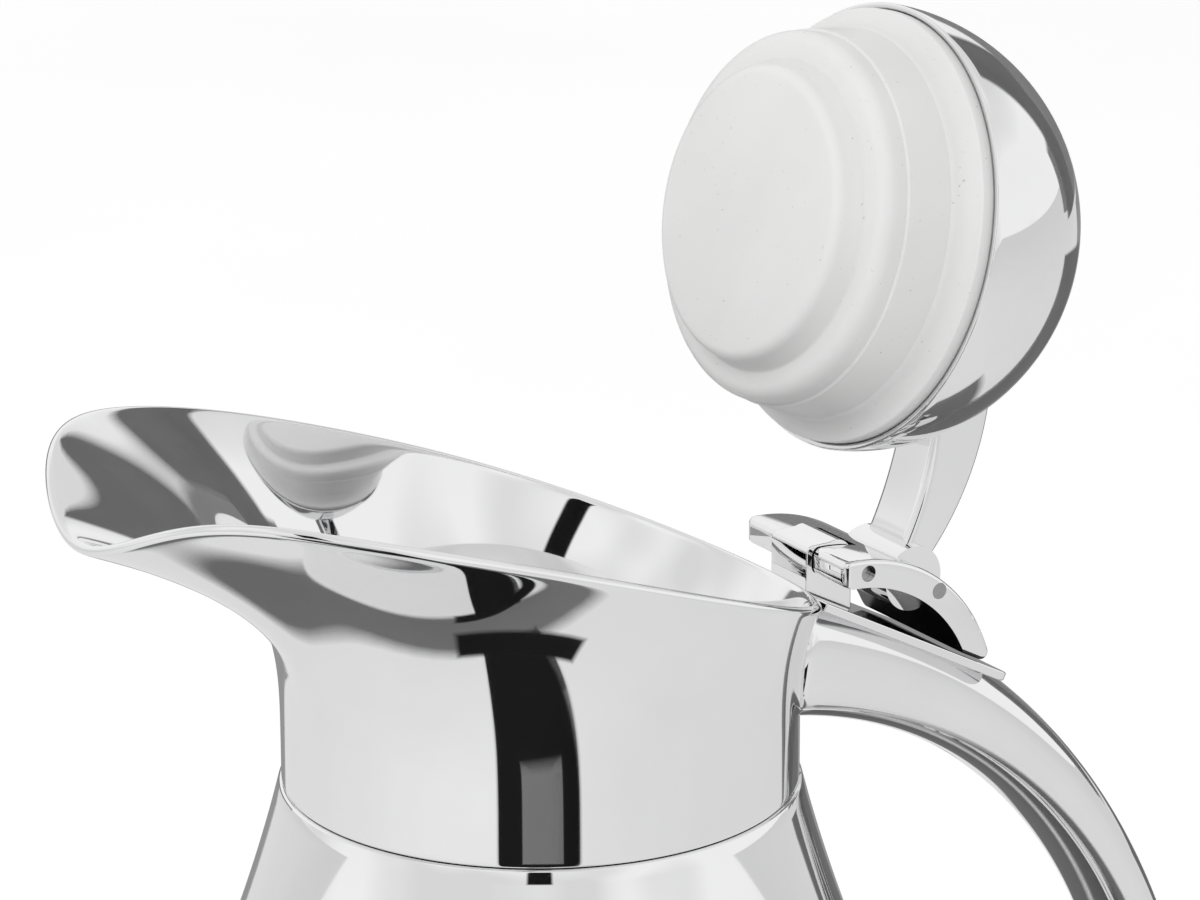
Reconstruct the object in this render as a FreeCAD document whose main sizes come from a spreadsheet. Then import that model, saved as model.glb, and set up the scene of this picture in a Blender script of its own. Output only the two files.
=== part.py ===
import FreeCAD, Part
import math
import os
import re
import Sketcher

# Thermal carafe, lid open. Millimetres. The body's axis is Z and the foot stands on Z = 0.
# The pouring lip points along -X and the handle along +X, and both sides of Y = 0 are alike.

SIZES = {
    "seam_height": 150.0,  # table to the seam between body and collar
    "neck_radius": 40.0,  # outside of the neck above the seam
    "seam_step": 0.4,  # the body stands out this much under the seam
    "flank_drop": 22.0,  # from the seam down to where the hollow shoulder turns into the belly
    "flank_flare": 6.6,  # how much wider the body is there
    "shoulder_curve": 240.0,  # radius of the hollow shoulder
    "belly_height": 42.0,
    "belly_radius": 62.0,
    "skirt_height": 9.0,  # straight band at the foot of the body
    "base_inset": 10.0,  # the skirt is this much narrower than the belly
    "shell_lift": 1.0,  # the shell's lower edge stays clear of the table
    "shell_wall": 1.0,
    "throat_drop": 5.0,  # the shell's bore reaches its neck size this far under the seam
    "socket_height": 8.0,  # the shell's neck reaches this far up inside the collar
    "slip_gap": 0.1,  # soldered or glued joint between round pieces
    "press_gap": 0.02,  # joint between pieces that are pressed together
    "vacuum_gap": 6.0,
    "flask_wall": 0.8,
    "flask_corner": 12.0,  # round between the flask's bottom and side
    "flask_heel_drop": 2.2,  # the flask's side is this much narrower at that round than at the belly
    "flask_neck_drop": 6.0,  # the flask's shoulder ends this far under the seam
    "mouth_ledge": 7.1,  # width of the gasket and of the mouth ring
    "flange_thickness": 0.8,
    "gasket_thickness": 1.5,
    "mouth_ring_height": 3.7,
    "mouth_edge": 0.8,  # round on the mouth's upper edge
    "bottom_height": 6.0,  # underside of the disc that closes the vacuum space
    "bottom_thickness": 1.2,
    "seal_radius": 2.5,  # pump-out hole and its plug
    "seal_head_radius": 4.5,
    "seal_head_height": 1.0,
    "getter_offset": 20.0,
    "getter_radius": 6.0,
    "getter_height": 2.5,
    "cover_height": 3.0,  # underside of the base cover
    "cover_wall": 1.0,
    "foot_inset": 6.0,
    "collar_wall": 1.8,
    "flare_start": 11.0,  # the collar is straight up to here, above the seam
    "flare_power": 2.5,  # two is a parabola, more keeps the neck straight for longer
    "rim_flare": 3.5,  # collar's rim beyond the neck on the handle side
    "spout_length": 39.6,  # tip of the pouring lip beyond the neck
    "spout_sharpness": 5.1,
    "rim_mid_height": 41.7,  # rim beside the axis, above the seam
    "rim_tilt": 19.4,  # degrees, the rim climbs towards the lip
    "rim_bow_radius": 455.0,
    "lip_dip": 12.0,  # the pouring channel is this much lower than its shoulders
    "lip_spread": 14.5,  # degrees
    "pivot_setback": 7.7,  # hinge pin behind the plate's front end
    "pivot_rise": 26.6,  # hinge pin above the seam
    "open_angle": 105.0,
    "lid_rise": 19.3,  # dome's rim above the seam, lid shut
    "dome_gap": 3.2,  # between the shut dome's rim and the collar
    "dome_wall": 1.0,
    "stopper_flange_gap": 0.1,  # flange inside the dome's rim
    "stopper_flange_depth": 2.1,  # depths are counted down from the dome's rim
    "stopper_fit": 0.6,  # the stopper's root in the mouth
    "stopper_root_depth": 5.2,
    "root_roundness": 0.72,  # radius of the hollow under the flange, as a share of its chord
    "stopper_step_in": 1.1,  # radii of the stopper are counted in from its root
    "stopper_side_in": 1.6,
    "stopper_plug_in": 7.4,
    "stopper_plug_taper": 1.2,
    "stopper_ledge_depth": 16.8,
    "stopper_shoulder_curve": 2.4,
    "stopper_step_height": 2.0,
    "stopper_plug_height": 2.6,
    "stopper_plug_curve": 1.8,
    "stopper_crown": 0.4,
    "stopper_wall": 2.4,
    "boss_radius": 6.0,
    "stud_radius": 3.0,
    "stud_depth": 10.0,  # the stud reaches this far under the dome's rim
    "foam_gap": 0.3,
    "plate_gap": 0.6,  # from the rim back to the front end of the hinge plate's top
    "plate_rise": 23.2,  # that end above the seam
    "plate_slope": 28.0,
    "plate_length": 40.5,
    "plate_thickness": 1.5,
    "plate_corner": 2.0,
    "lever_width": 27.7,
    "lever_nose": 4.4,  # front of the fork ears ahead of the hinge pin
    "lever_nose_round": 1.4,
    "lever_arch_x": 3.4,  # centre of the lever's arch ahead of the hinge pin
    "lever_crown": 2.4,  # top of the fork ears above the hinge pin
    "lever_curve": 28.4,  # radius of the lever's back
    "lever_thickness": 4.5,
    "lever_edge": 0.8,
    "lever_overrun": 8.0,  # degrees above level where the bar stops before its tip is cut
    "lever_toe": 1.2,  # round on the lever's tip
    "rest_gap": 0.4,  # lever's tip over the plate it rests on
    "lug_radius": 3.0,
    "lug_front": 5.6,  # front of the lug ahead of the hinge pin
    "lug_front_rise": 2.8,
    "lug_edge": 1.2,
    "lug_width": 9.8,
    "fork_gap": 0.3,
    "pin_radius": 1.3,
    "running_gap": 0.05,
    "pin_recess": 1.2,
    "arm_pin_x": 13.7,  # from the hinge pin back to the arm's pin
    "arm_pin_drop": 5.5,
    "knuckle_radius": 5.3,
    "knuckle_width": 13.5,
    "arm_width": 11.0,
    "arm_edge": 1.6,
    "arm_front_x": 13.4,
    "arm_front_rise": 0.7,
    "arm_front_curve": 66.0,
    "arm_rear_x": 19.0,
    "arm_rear_drop": 2.6,
    "arm_rear_curve": 47.0,
    "arm_top_front_x": 20.1,
    "arm_top_rear_x": 30.1,
    "arm_top_rise": 30.0,
    "weld_gap": 0.05,
    "handle_root_depth": 4.0,  # first section of the handle, inside the neck
    "handle_root_rise": 14.2,
    "handle_root_slope": 11.5,  # degrees below level
    "handle_top_curve": 108.0,  # centre line of the handle: three arcs and a straight run
    "handle_mid_angle": 67.5,  # degrees below level where the second arc starts
    "handle_mid_curve": 70.0,
    "handle_low_curve": 38.0,
    "root_half_height": 10.8,
    "root_inset": 0.25,  # the root is this much narrower than the hinge plate on each side
    "grip_half_height": 5.2,
    "grip_half_width": 9.4,
    "tail_half_height": 4.8,
    "tail_half_width": 8.0,
    "root_squareness": 3.2,  # two is an oval, more is closer to a rounded box
    "grip_squareness": 2.2,
    "root_ease": 1.6,  # how soon the broad root gives way to the grip
    "handle_wall": 1.5,
    "split_gap": 0.4,  # groove between the handle's channel and its cover strip
    "split_angle": 36.0,  # degrees under the section's widest line
}

doc = FreeCAD.newDocument("thermal_carafe")
sheet = doc.addObject("Spreadsheet::Sheet", "Sizes")
for row, (alias, value) in enumerate(SIZES.items(), start=1):
    sheet.set(f"A{row}", alias.replace("_", " "))
    sheet.set(f"B{row}", str(value))
    sheet.setAlias(f"B{row}", alias)
doc.recompute()


def tied(formula):
    """The formula with every size's name pointing at its cell."""
    return re.sub(r"[a-z_]+", lambda m: "Sizes." + m[0] if m[0] in SIZES else m[0], formula)


def size(formula):
    """The present value of a size or of a formula of sizes."""
    return float(sheet.evalExpression(tied(formula)))


# Heights and places that several pieces share, as formulas of the sizes.
# PAST is how far a cut runs on past the face it opens.
PAST = "1"
FLANK_Z = "(seam_height - flank_drop)"
FLANK_R = "(neck_radius + seam_step + flank_flare)"
BASE_R = "(belly_radius - base_inset)"
RIM_R = "(neck_radius + rim_flare)"
PLATE_X = f"({RIM_R} + plate_gap)"
PIVOT_X = f"({PLATE_X} + pivot_setback)"
PIVOT_Z = "(seam_height + pivot_rise)"
DOME_R = "(neck_radius - collar_wall - dome_gap)"
LID_Z = "(seam_height + lid_rise)"
SOCKET_R = "(neck_radius - collar_wall - slip_gap)"
MOUTH_R = f"({SOCKET_R} - mouth_ledge)"
SOCKET_Z = "(seam_height + socket_height)"
FLANGE_Z = "(seam_height + socket_height + flange_thickness)"
GASKET_Z = "(seam_height + socket_height + flange_thickness + gasket_thickness)"
RING_Z = "(seam_height + socket_height + flange_thickness + gasket_thickness + mouth_ring_height)"
BOTTOM_Z = "(bottom_height + bottom_thickness)"
ARM_PIN_X = f"({PIVOT_X} + arm_pin_x)"
ARM_PIN_Z = f"({PIVOT_Z} - arm_pin_drop)"
LID_DROP = "(lid_rise - pivot_rise)"
OPEN_LID_X = f"({PIVOT_X} - {PIVOT_X} * cos(open_angle) + {LID_DROP} * sin(open_angle))"
OPEN_LID_Z = f"({PIVOT_Z} + {PIVOT_X} * sin(open_angle) + {LID_DROP} * cos(open_angle))"


def plate_top(x):
    """Height of the hinge plate's top over the point x."""
    return f"(seam_height + plate_rise - ({x} - {PLATE_X}) * tan(plate_slope))"


def body_named(label):
    body = doc.addObject("PartDesign::Body", label)
    body.Label = label
    return body


def outline(body, name, role, corners):
    """A closed sketch. Each corner is (x, y) or (x, y, radius, turn).

    A corner with a radius starts an arc to the next corner. Its centre lies left of the way there
    when turn is 1 and right of it when turn is -1.
    """
    sketch = body.newObject("Sketcher::SketchObject", name)
    plane = [f for f in body.Origin.OriginFeatures if f.Role == role][0]
    sketch.AttachmentSupport = (plane, [""])
    sketch.MapMode = "FlatFace"
    points = [FreeCAD.Vector(size(c[0]), size(c[1]), 0) for c in corners]
    ends = []
    for i, corner in enumerate(corners):
        start = points[i]
        stop = points[(i + 1) % len(points)]
        if len(corner) == 2:
            sketch.addGeometry(Part.LineSegment(start, stop))
            ends.append((1, 2))
            continue
        radius = size(corner[2])
        hand = corner[3]
        chord = stop - start
        left = FreeCAD.Vector(-chord.y, chord.x, 0).normalize()
        reach = math.sqrt(radius ** 2 - (chord.Length / 2) ** 2)
        centre = (start + stop) / 2 + left * reach * hand
        middle = centre - left * radius * hand
        sketch.addGeometry(Part.Arc(start, middle, stop))
        ends.append((1, 2) if hand > 0 else (2, 1))
    for i in range(len(corners)):
        j = (i + 1) % len(corners)
        sketch.addConstraint(Sketcher.Constraint("Coincident", i, ends[i][1], j, ends[j][0]))
    for i, corner in enumerate(corners):
        for kind, letter, formula in (("DistanceX", "x", corner[0]), ("DistanceY", "y", corner[1])):
            index = sketch.addConstraint(
                Sketcher.Constraint(kind, -1, 1, i, ends[i][0], size(formula))
            )
            sketch.renameConstraint(index, f"{letter}{i}")
            sketch.setExpression(f"Constraints.{letter}{i}", tied(formula))
        if len(corner) > 2:
            index = sketch.addConstraint(Sketcher.Constraint("Radius", i, size(corner[2])))
            sketch.renameConstraint(index, f"radius{i}")
            sketch.setExpression(f"Constraints.radius{i}", tied(corner[2]))
    return sketch


def turn(body, name, corners, cut=False):
    """Spin an outline about the body's upright axis, to add or to cut."""
    sketch = outline(body, name + "_outline", "XZ_Plane", corners)
    kind = "PartDesign::Groove" if cut else "PartDesign::Revolution"
    feature = body.newObject(kind, name)
    feature.Profile = sketch
    feature.ReferenceAxis = (sketch, ["V_Axis"])
    feature.Angle = 360
    doc.recompute()
    return feature


def across(body, name, corners, width, cut=False):
    """Run a side view outline across the body, half the width to each side of Y = 0."""
    sketch = outline(body, name + "_outline", "XZ_Plane", corners)
    kind = "PartDesign::Pocket" if cut else "PartDesign::Pad"
    feature = body.newObject(kind, name)
    feature.Profile = sketch
    feature.SideType = "Symmetric"
    feature.setExpression("Length", tied(width))
    doc.recompute()
    return feature


def disc(body, name, x, z, radius, width, cut=False):
    """A round lying across the body, or a round hole through it."""
    sketch = body.newObject("Sketcher::SketchObject", name + "_outline")
    plane = [f for f in body.Origin.OriginFeatures if f.Role == "XZ_Plane"][0]
    sketch.AttachmentSupport = (plane, [""])
    sketch.MapMode = "FlatFace"
    middle = FreeCAD.Vector(size(x), size(z), 0)
    sketch.addGeometry(Part.Circle(middle, FreeCAD.Vector(0, 0, 1), size(radius)))
    for kind, word, formula, picks in (
        ("DistanceX", "x", x, (-1, 1, 0, 3)),
        ("DistanceY", "y", z, (-1, 1, 0, 3)),
        ("Radius", "radius", radius, (0,)),
    ):
        index = sketch.addConstraint(Sketcher.Constraint(kind, *picks, size(formula)))
        sketch.renameConstraint(index, word)
        sketch.setExpression(f"Constraints.{word}", tied(formula))
    feature = body.newObject("PartDesign::Pocket" if cut else "PartDesign::Pad", name)
    feature.Profile = sketch
    feature.SideType = "Symmetric"
    feature.setExpression("Length", tied(width))
    doc.recompute()
    return feature


def soften(body, name, radius, wanted):
    """Round the edges of the body that the test picks."""
    base = body.Tip
    names = [f"Edge{i + 1}" for i, edge in enumerate(base.Shape.Edges) if wanted(edge)]
    fillet = body.newObject("PartDesign::Fillet", name)
    fillet.Base = (base, names)
    fillet.setExpression("Radius", tied(radius))
    doc.recompute()
    return fillet


def arc_radius(dr, dz):
    """Radius of an arc that ends upright after going dr sideways and dz up."""
    return f"((({dr}) ^ 2 + ({dz}) ^ 2) / (2 * ({dr})))"


def open_lid(body):
    """Swing a piece that is drawn with the lid shut to the open lid."""
    body.setExpression("Placement.Base.x", tied(f"{OPEN_LID_X} - {LID_Z} * sin(open_angle)"))
    body.setExpression("Placement.Base.z", tied(f"{OPEN_LID_Z} - {LID_Z} * cos(open_angle)"))
    body.setExpression("Placement.Rotation.Axis.x", "0")
    body.setExpression("Placement.Rotation.Axis.y", "1")
    body.setExpression("Placement.Rotation.Axis.z", "0")
    body.setExpression("Placement.Rotation.Angle", tied("open_angle"))
    doc.recompute()


# Outer shell: skirt, belly, hollow shoulder, and a neck that goes up inside the collar.
LOW_CURVE = arc_radius("base_inset", "belly_height - skirt_height")
HIGH_CURVE = arc_radius(f"belly_radius - {FLANK_R}", f"{FLANK_Z} - belly_height")
outer_shell = body_named("outer_shell")
turn(outer_shell, "shell_outside", [
    ("0", "shell_lift"),
    (BASE_R, "shell_lift"),
    (BASE_R, "skirt_height", LOW_CURVE, 1),
    ("belly_radius", "belly_height", HIGH_CURVE, 1),
    (FLANK_R, FLANK_Z, "shoulder_curve", -1),
    ("neck_radius + seam_step", "seam_height"),
    (SOCKET_R, "seam_height"),
    (SOCKET_R, SOCKET_Z),
    ("0", SOCKET_Z),
])
turn(outer_shell, "shell_inside", [
    ("0", "0"),
    (f"{BASE_R} - shell_wall", "0"),
    (f"{BASE_R} - shell_wall", "skirt_height", LOW_CURVE, 1),
    ("belly_radius - shell_wall", "belly_height", HIGH_CURVE, 1),
    (f"{FLANK_R} - shell_wall", FLANK_Z),
    (f"{SOCKET_R} - shell_wall", "seam_height - throat_drop"),
    (f"{SOCKET_R} - shell_wall", f"{SOCKET_Z} + {PAST}"),
    ("0", f"{SOCKET_Z} + {PAST}"),
], cut=True)

# Inner flask: hangs from its flange, which lies on the shell's neck.
inner_flask = body_named("inner_flask")
INSET = "(shell_wall + vacuum_gap)"
FLASK_Z = f"({BOTTOM_Z} + vacuum_gap)"


def flask_corners(wall, top):
    side = f"(belly_radius - {INSET} - {wall})"
    heel = f"({side} - flask_heel_drop)"
    low = f"({FLASK_Z} + {wall})"
    corner = f"(flask_corner - {wall})"
    throat = f"({MOUTH_R} + flask_wall - {wall})"
    flank = f"({FLANK_R} - {INSET} - {wall})"
    return [
        ("0", low),
        (f"{heel} - {corner}", low, corner, 1),
        (heel, f"{low} + {corner}", arc_radius("flask_heel_drop", f"belly_height - {low} - {corner}"), 1),
        (side, "belly_height", arc_radius(f"{side} - {flank}", f"{FLANK_Z} - belly_height"), 1),
        (flank, FLANK_Z),
        (throat, "seam_height - flask_neck_drop"),
        (throat, top),
        ("0", top),
    ]


turn(inner_flask, "flask_outside", flask_corners("0", FLANGE_Z))
turn(inner_flask, "flask_flange", [
    ("0", SOCKET_Z),
    (SOCKET_R, SOCKET_Z),
    (SOCKET_R, FLANGE_Z),
    ("0", FLANGE_Z),
])
turn(inner_flask, "flask_inside", flask_corners("flask_wall", f"{FLANGE_Z} + {PAST}"), cut=True)

# Vacuum bottom with its pump-out hole, the plug in it and the getter beside it.
shell_bottom = body_named("shell_bottom")
turn(shell_bottom, "bottom_disc", [
    ("seal_radius", "bottom_height"),
    (f"{BASE_R} - shell_wall - press_gap", "bottom_height"),
    (f"{BASE_R} - shell_wall - press_gap", BOTTOM_Z),
    ("seal_radius", BOTTOM_Z),
])
vacuum_seal = body_named("vacuum_seal")
turn(vacuum_seal, "seal_plug", [
    ("0", "bottom_height - seal_head_height"),
    ("seal_head_radius", "bottom_height - seal_head_height"),
    ("seal_head_radius", "bottom_height"),
    ("seal_radius - press_gap", "bottom_height"),
    ("seal_radius - press_gap", BOTTOM_Z),
    ("0", BOTTOM_Z),
])
getter = doc.addObject("Part::Cylinder", "getter")
getter.Label = "getter"
getter.setExpression("Radius", tied("getter_radius"))
getter.setExpression("Height", tied("getter_height"))
getter.setExpression("Placement.Base.x", tied("getter_offset"))
getter.setExpression("Placement.Base.z", tied(BOTTOM_Z))

# Base cover glued into the skirt, and the soft foot under it.
base_cover = body_named("base_cover")
COVER_R = f"({BASE_R} - shell_wall - slip_gap)"
turn(base_cover, "cover_cup", [
    ("0", "cover_height"),
    (COVER_R, "cover_height"),
    (COVER_R, "bottom_height"),
    (f"{COVER_R} - cover_wall", "bottom_height"),
    (f"{COVER_R} - cover_wall", "cover_height + cover_wall"),
    ("0", "cover_height + cover_wall"),
])
foot_pad = doc.addObject("Part::Cylinder", "foot_pad")
foot_pad.Label = "foot_pad"
foot_pad.setExpression("Radius", tied(f"{BASE_R} - foot_inset"))
foot_pad.setExpression("Height", tied("cover_height"))

# Gasket and mouth ring on the flask's flange.
neck_gasket = body_named("neck_gasket")
turn(neck_gasket, "gasket_ring", [
    (MOUTH_R, FLANGE_Z),
    (SOCKET_R, FLANGE_Z),
    (SOCKET_R, GASKET_Z),
    (MOUTH_R, GASKET_Z),
])
mouth_ring = body_named("mouth_ring")
turn(mouth_ring, "mouth_band", [
    (MOUTH_R, GASKET_Z),
    (SOCKET_R, GASKET_Z),
    (SOCKET_R, RING_Z),
    (f"{MOUTH_R} + mouth_edge", RING_Z, "mouth_edge", 1),
    (MOUTH_R, f"{RING_Z} - mouth_edge"),
])

# Collar with the pouring lip. Every upright section starts straight and then flares more and
# more to the rim, and the rim's reach and height change around the axis.
RING_POINTS = 48
FLARE_STEPS = 6


def rim_at(angle):
    """Reach and height of the rim at an angle from the handle side, height above the seam."""
    blend = ((1 - math.cos(angle)) / 2) ** size("spout_sharpness")
    reach = size(RIM_R) + size("spout_length - rim_flare") * blend
    x = reach * math.cos(angle)
    height = size("rim_mid_height") - math.tan(math.radians(size("rim_tilt"))) * x
    height -= x ** 2 / (2 * size("rim_bow_radius"))
    away = math.degrees(math.pi - angle) / size("lip_spread")
    return reach, height - size("lip_dip") * math.exp(-away ** 2)


def collar_point(angle, level):
    """Outside of the collar: level 0 is where the flare starts and 1 is the rim."""
    reach, height = rim_at(abs(angle))
    radius = size("neck_radius") + (reach - size("neck_radius")) * max(level, 0) ** size("flare_power")
    z = size("flare_start") + (height - size("flare_start")) * level
    return FreeCAD.Vector(radius * math.cos(angle), radius * math.sin(angle), size("seam_height") + z)


def collar_inside(angle, level):
    """The same spot on the inside, one wall away square to the surface."""
    step = 0.001
    along = collar_point(angle + step, level) - collar_point(angle - step, level)
    up = collar_point(angle, level + step) - collar_point(angle, level)
    inward = up.cross(along).normalize()
    return collar_point(angle, level) + inward * size("collar_wall")


def collar_ring(point, level):
    spots = []
    for i in range(RING_POINTS):
        angle = 2 * math.pi * i / RING_POINTS
        spots.append(point(angle if angle <= math.pi else angle - 2 * math.pi, level))
    curve = Part.BSplineCurve()
    curve.interpolate(Points=spots, PeriodicFlag=True)
    return Part.Wire(curve.toShape())


def neck_ring(radius):
    ring = collar_ring(collar_point, 0)
    flat = FreeCAD.Matrix()
    flat.scale(radius / size("neck_radius"), radius / size("neck_radius"), 1)
    flat.move(FreeCAD.Vector(0, 0, -size("flare_start")))
    return ring.transformGeometry(flat)


def collar_skin(point, radius):
    levels = [i / FLARE_STEPS for i in range(FLARE_STEPS + 1)]
    rings = [collar_ring(point, level) for level in levels]
    low = Part.Wire(neck_ring(radius).Edges)
    neck = Part.makeLoft([low, rings[0]], False, True)
    flare = Part.makeLoft(rings, False, False)
    return low, rings[-1], neck.Faces + flare.Faces


low_out, rim_out, skin_out = collar_skin(collar_point, size("neck_radius"))
low_in, rim_in, skin_in = collar_skin(collar_inside, size("neck_radius - collar_wall"))
rim_face = Part.makeLoft([rim_out, rim_in], False, True)
foot_face = Part.makeFace([low_out, low_in], "Part::FaceMakerBullseye")
collar_shell = Part.makeShell(skin_out + skin_in + rim_face.Faces + foot_face.Faces)
collar_shell.sewShape()
collar_solid = Part.makeSolid(Part.Shell(collar_shell.Faces))
if collar_solid.Volume < 0:
    collar_solid.reverse()
spout_collar = doc.addObject("Part::Feature", "spout_collar")
spout_collar.Label = "spout_collar"
spout_collar.Shape = collar_solid
spout_collar.Placement = FreeCAD.Placement()

# Hinge plate on the handle.
PLATE_END_X = f"({PLATE_X} + plate_length * cos(plate_slope))"
PLATE_DOWN_X = "(plate_thickness * sin(plate_slope))"
PLATE_DOWN_Z = "(plate_thickness * cos(plate_slope))"
hinge_plate = body_named("hinge_plate")
across(hinge_plate, "plate_bar", [
    (PLATE_X, plate_top(PLATE_X)),
    (f"{PLATE_X} - {PLATE_DOWN_X}", f"{plate_top(PLATE_X)} - {PLATE_DOWN_Z}"),
    (f"{PLATE_END_X} - {PLATE_DOWN_X}", f"{plate_top(PLATE_END_X)} - {PLATE_DOWN_Z}"),
    (PLATE_END_X, plate_top(PLATE_END_X)),
], "lever_width")
plate_end = size(PLATE_END_X)
plate_side = size("lever_width / 2 - 0.01")
soften(hinge_plate, "plate_corners", "plate_corner",
       lambda e: e.CenterOfMass.x > plate_end - 1 and abs(e.CenterOfMass.y) > plate_side)

# Lug on the plate: a leg with a round head about the hinge pin.
hinge_lug = body_named("hinge_lug")
across(hinge_lug, "lug_block", [
    (f"{PIVOT_X} - lug_front", plate_top(f"({PIVOT_X} - lug_front)")),
    (f"{PIVOT_X} + lug_radius", plate_top(f"({PIVOT_X} + lug_radius)")),
    (f"{PIVOT_X} + lug_radius", PIVOT_Z),
    (PIVOT_X, f"{PIVOT_Z} + lug_front_rise"),
    (f"{PIVOT_X} - lug_front", f"{PIVOT_Z} + lug_front_rise"),
], "lug_width")
soften(hinge_lug, "lug_nose", "lug_edge",
       lambda e: abs(e.CenterOfMass.x - size(f"{PIVOT_X} - lug_front")) < 0.01
       and e.CenterOfMass.z > size(f"{PIVOT_Z} + lug_front_rise") - 0.01)
disc(hinge_lug, "lug_head", PIVOT_X, PIVOT_Z, "lug_radius", "lug_width")
disc(hinge_lug, "lug_bore", PIVOT_X, PIVOT_Z, "pin_radius + running_gap", "lug_width * 2", cut=True)

# Thumb lever: an arched bar, forked in front, ending just over the plate.
NOSE_X = f"({PIVOT_X} - lever_nose)"
LEVER_X = f"({PIVOT_X} - lever_arch_x)"
LEVER_Z = "(seam_height + pivot_rise + lever_crown - lever_curve)"
LEVER_IN = "(lever_curve - lever_thickness)"
thumb_lever = body_named("thumb_lever")
across(thumb_lever, "lever_bar", [
    (LEVER_X, f"{LEVER_Z} + lever_curve"),
    (NOSE_X, f"{LEVER_Z} + lever_curve"),
    (NOSE_X, f"{LEVER_Z} + {LEVER_IN}"),
    (LEVER_X, f"{LEVER_Z} + {LEVER_IN}", LEVER_IN, -1),
    (f"{LEVER_X} + {LEVER_IN} * cos(lever_overrun)", f"{LEVER_Z} + {LEVER_IN} * sin(lever_overrun)"),
    (f"{LEVER_X} + lever_curve * cos(lever_overrun)", f"{LEVER_Z} + lever_curve * sin(lever_overrun)",
     "lever_curve", 1),
], "lever_width")
TIP_X = f"({PIVOT_X} + lever_curve)"
across(thumb_lever, "lever_tip", [
    (PIVOT_X, f"{plate_top(PIVOT_X)} + rest_gap / cos(plate_slope)"),
    (PIVOT_X, f"{plate_top(TIP_X)} - lever_curve"),
    (TIP_X, f"{plate_top(TIP_X)} - lever_curve"),
    (TIP_X, f"{plate_top(TIP_X)} + rest_gap / cos(plate_slope)"),
], "lever_width * 2", cut=True)
tip = thumb_lever.Tip.Shape.BoundBox.XMax
soften(thumb_lever, "lever_toe_edge", "lever_toe", lambda e: e.BoundBox.XMin > tip - 0.01)
soften(thumb_lever, "lever_nose_edges", "lever_nose_round",
       lambda e: e.BoundBox.XMax < size(NOSE_X) + 0.01)
soften(thumb_lever, "lever_edges", "lever_edge",
       lambda e: abs(abs(e.CenterOfMass.y) - size("lever_width / 2")) < 0.01
       and e.Curve.TypeId == "Part::GeomCircle"
       and abs(e.Curve.Radius - size("lever_curve")) < 0.01)
FORK_X = f"({PIVOT_X} + lug_radius + fork_gap * 3)"
across(thumb_lever, "lever_fork", [
    (f"{PIVOT_X} - lever_nose * 2", f"{PIVOT_Z} - lever_curve"),
    (FORK_X, f"{PIVOT_Z} - lever_curve"),
    (FORK_X, f"{PIVOT_Z} + lever_curve"),
    (f"{PIVOT_X} - lever_nose * 2", f"{PIVOT_Z} + lever_curve"),
], "lug_width + fork_gap * 2", cut=True)
disc(thumb_lever, "lever_seat", ARM_PIN_X, ARM_PIN_Z, "knuckle_radius + press_gap",
     "knuckle_width + press_gap * 2", cut=True)
disc(thumb_lever, "lever_bore", PIVOT_X, PIVOT_Z, "pin_radius + press_gap", "lever_width * 2", cut=True)
disc(thumb_lever, "lever_rear_bore", ARM_PIN_X, ARM_PIN_Z, "pin_radius + press_gap",
     "lever_width * 2", cut=True)


def cross_pin(label, x, z, length):
    pin = doc.addObject("Part::Cylinder", label)
    pin.Label = label
    pin.setExpression("Radius", tied("pin_radius"))
    pin.setExpression("Height", tied(length))
    pin.setExpression("Placement.Base.x", tied(x))
    pin.setExpression("Placement.Base.y", tied(f"({length}) / 2"))
    pin.setExpression("Placement.Base.z", tied(z))
    pin.setExpression("Placement.Rotation.Axis.x", "1")
    pin.setExpression("Placement.Rotation.Axis.y", "0")
    pin.setExpression("Placement.Rotation.Axis.z", "0")
    pin.setExpression("Placement.Rotation.Angle", "90")
    return pin


hinge_pin = cross_pin("hinge_pin", PIVOT_X, PIVOT_Z, "lever_width - pin_recess * 2")
arm_pin = cross_pin("arm_pin", ARM_PIN_X, ARM_PIN_Z, "lever_width")

# Lid arm: a curved bar from a knuckle in the lever up to the dome.
arm_bar = body_named("arm_bar")
across(arm_bar, "arm_blade", [
    (f"{PIVOT_X} + arm_front_x", f"{PIVOT_Z} + arm_front_rise"),
    (ARM_PIN_X, ARM_PIN_Z),
    (f"{PIVOT_X} + arm_rear_x", f"{PIVOT_Z} - arm_rear_drop", "arm_rear_curve", 1),
    (f"{PIVOT_X} + arm_top_rear_x", f"{PIVOT_Z} + arm_top_rise"),
    (f"{PIVOT_X} + arm_top_front_x", f"{PIVOT_Z} + arm_top_rise", "arm_front_curve", -1),
], "arm_width")
soften(arm_bar, "arm_edges", "arm_edge",
       lambda e: e.Curve.TypeId == "Part::GeomCircle")
disc(arm_bar, "arm_knuckle", ARM_PIN_X, ARM_PIN_Z, "knuckle_radius", "knuckle_width")
disc(arm_bar, "arm_bore", ARM_PIN_X, ARM_PIN_Z, "pin_radius + press_gap", "knuckle_width * 2", cut=True)
dome_room = doc.addObject("Part::Sphere", "dome_room")
dome_room.setExpression("Radius", tied(f"{DOME_R} + weld_gap"))
dome_room.setExpression("Placement.Base.x", tied(OPEN_LID_X))
dome_room.setExpression("Placement.Base.z", tied(OPEN_LID_Z))
lid_arm = doc.addObject("Part::Cut", "lid_arm")
lid_arm.Label = "lid_arm"
lid_arm.Base = arm_bar
lid_arm.Tool = dome_room
doc.recompute()

# Dome, drawn shut over the mouth and then swung open.
DOME_IN = f"({DOME_R} - dome_wall)"
lid_dome = body_named("lid_dome")
turn(lid_dome, "dome_wall_ring", [
    (DOME_IN, LID_Z),
    (DOME_R, LID_Z, DOME_R, 1),
    ("0", f"{LID_Z} + {DOME_R}"),
    ("0", f"{LID_Z} + {DOME_IN}", DOME_IN, -1),
])
open_lid(lid_dome)


def depth(formula):
    return f"({LID_Z} - ({formula}))"


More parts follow.
